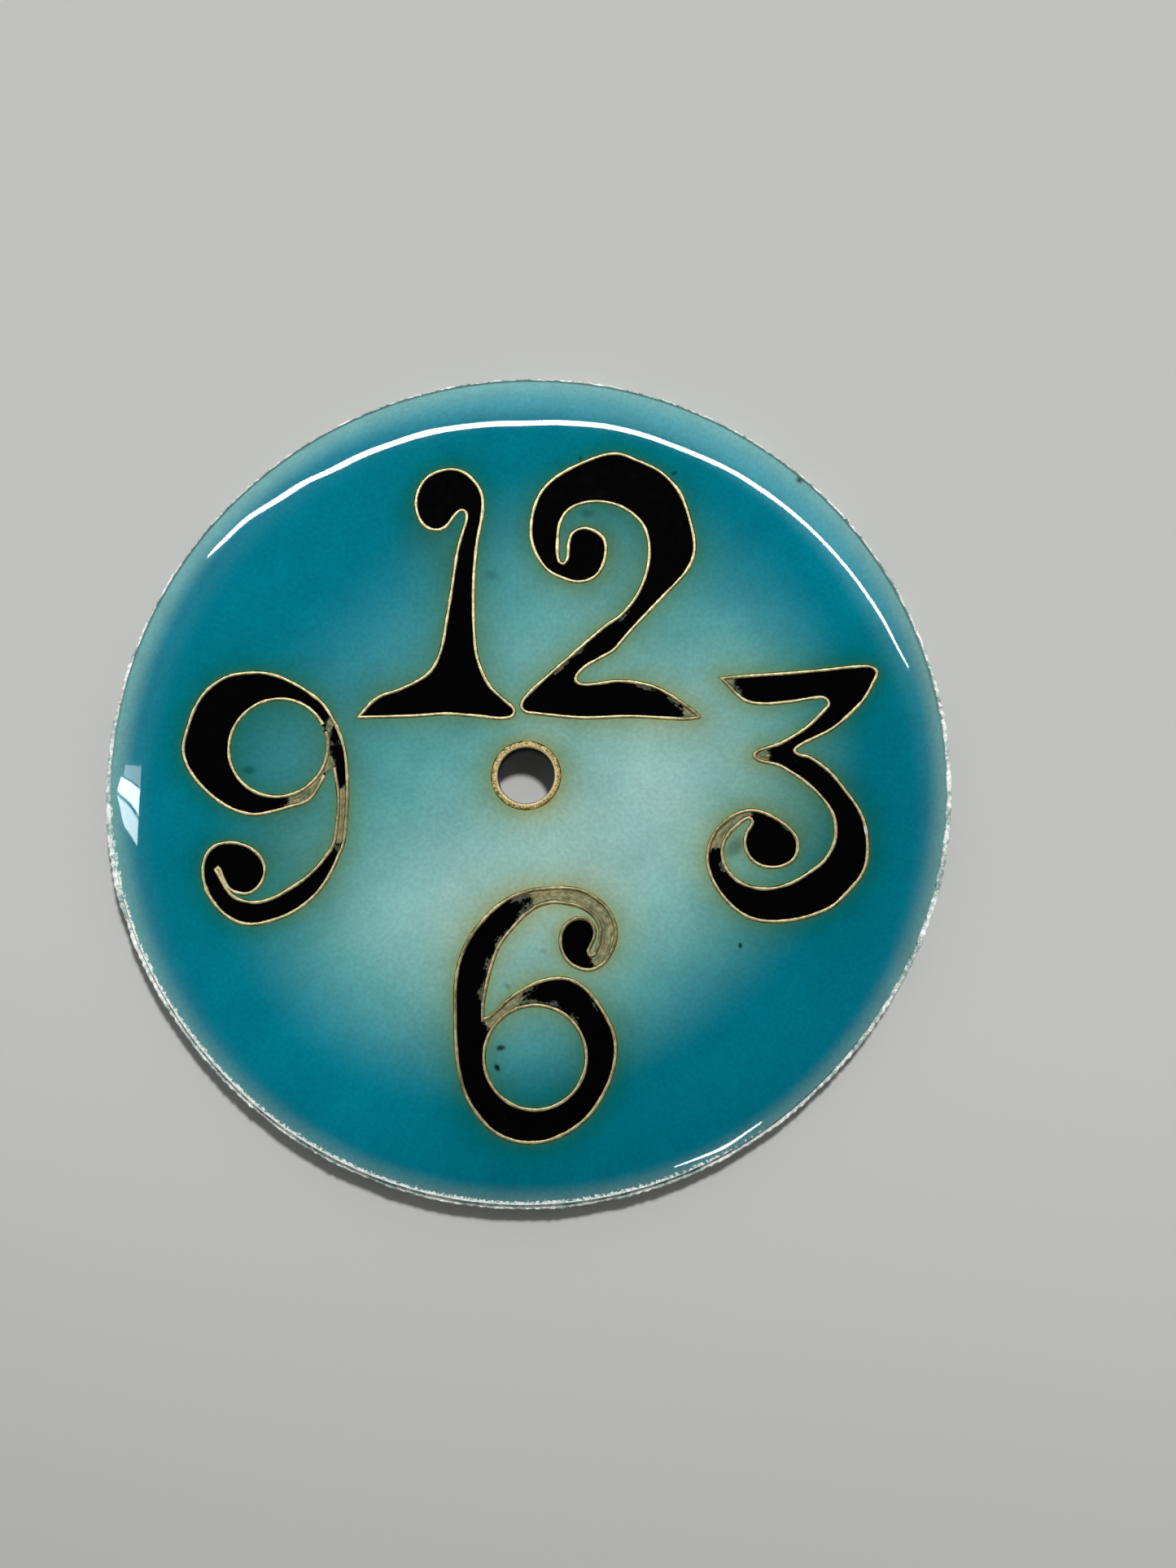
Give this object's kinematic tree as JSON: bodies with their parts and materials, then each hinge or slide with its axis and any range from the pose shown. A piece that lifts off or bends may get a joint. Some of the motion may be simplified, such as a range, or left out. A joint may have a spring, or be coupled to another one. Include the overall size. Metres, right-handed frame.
{
  "type": "watch dial",
  "caption": "Round cloisonne enamel watch dial on a silver disc, with hour numerals drawn in gold wire and a gold-ringed centre hole.",
  "frame": {"origin": "on the dial's axis, in the plane its back rests on", "axes": "+Z out of the enamelled face, +Y from the centre towards the 12, +X towards the 3"},
  "size_m": [0.032, 0.032, 0.0012],
  "materials": {
    "silver": "fine silver, bright where it is bare, rough at the edge",
    "gold_wire": "drawn gold ribbon, ground flush and fire polished",
    "ground_enamel": "glossy transparent blue-green enamel, fine grained, paler at the middle",
    "black_enamel": "glossy opaque black enamel",
    "clear_flux": "glossy clear enamel over silver, with a greenish gold cast",
    "undercoat_enamel": "pale fired undercoat, hidden inside",
    "back_enamel": "mottled blue-grey counter enamel with an orange peel"
  },
  "bodies": {
    "root": {"back_enamel": "back_enamel", "silver_disc": "silver", "undercoat_enamel": "undercoat_enamel", "centre_ring": "gold_wire", "one_wire": "gold_wire", "two_wire": "gold_wire", "three_wire": "gold_wire", "six_wire": "gold_wire", "nine_wire": "gold_wire", "six_bowl_wire": "gold_wire", "nine_bowl_wire": "gold_wire", "ground_enamel": "ground_enamel", "one_enamel": "black_enamel", "two_enamel": "black_enamel", "two_tip_flux": "clear_flux", "three_enamel": "black_enamel", "three_top_tip_flux": "clear_flux", "three_middle_tip_flux": "clear_flux", "three_curl_flux": "clear_flux", "three_ball_enamel": "black_enamel", "six_enamel": "black_enamel", "six_ball_enamel": "black_enamel", "six_top_flux": "clear_flux", "six_bowl_flux": "clear_flux", "six_bowl_ground": "ground_enamel", "nine_enamel": "black_enamel", "nine_top_flux": "clear_flux", "nine_neck_flux": "clear_flux", "nine_stem_enamel": "black_enamel", "nine_stem_flux": "clear_flux", "nine_tail_enamel": "black_enamel", "nine_bowl_ground": "ground_enamel"}
  },
  "joints": []
}
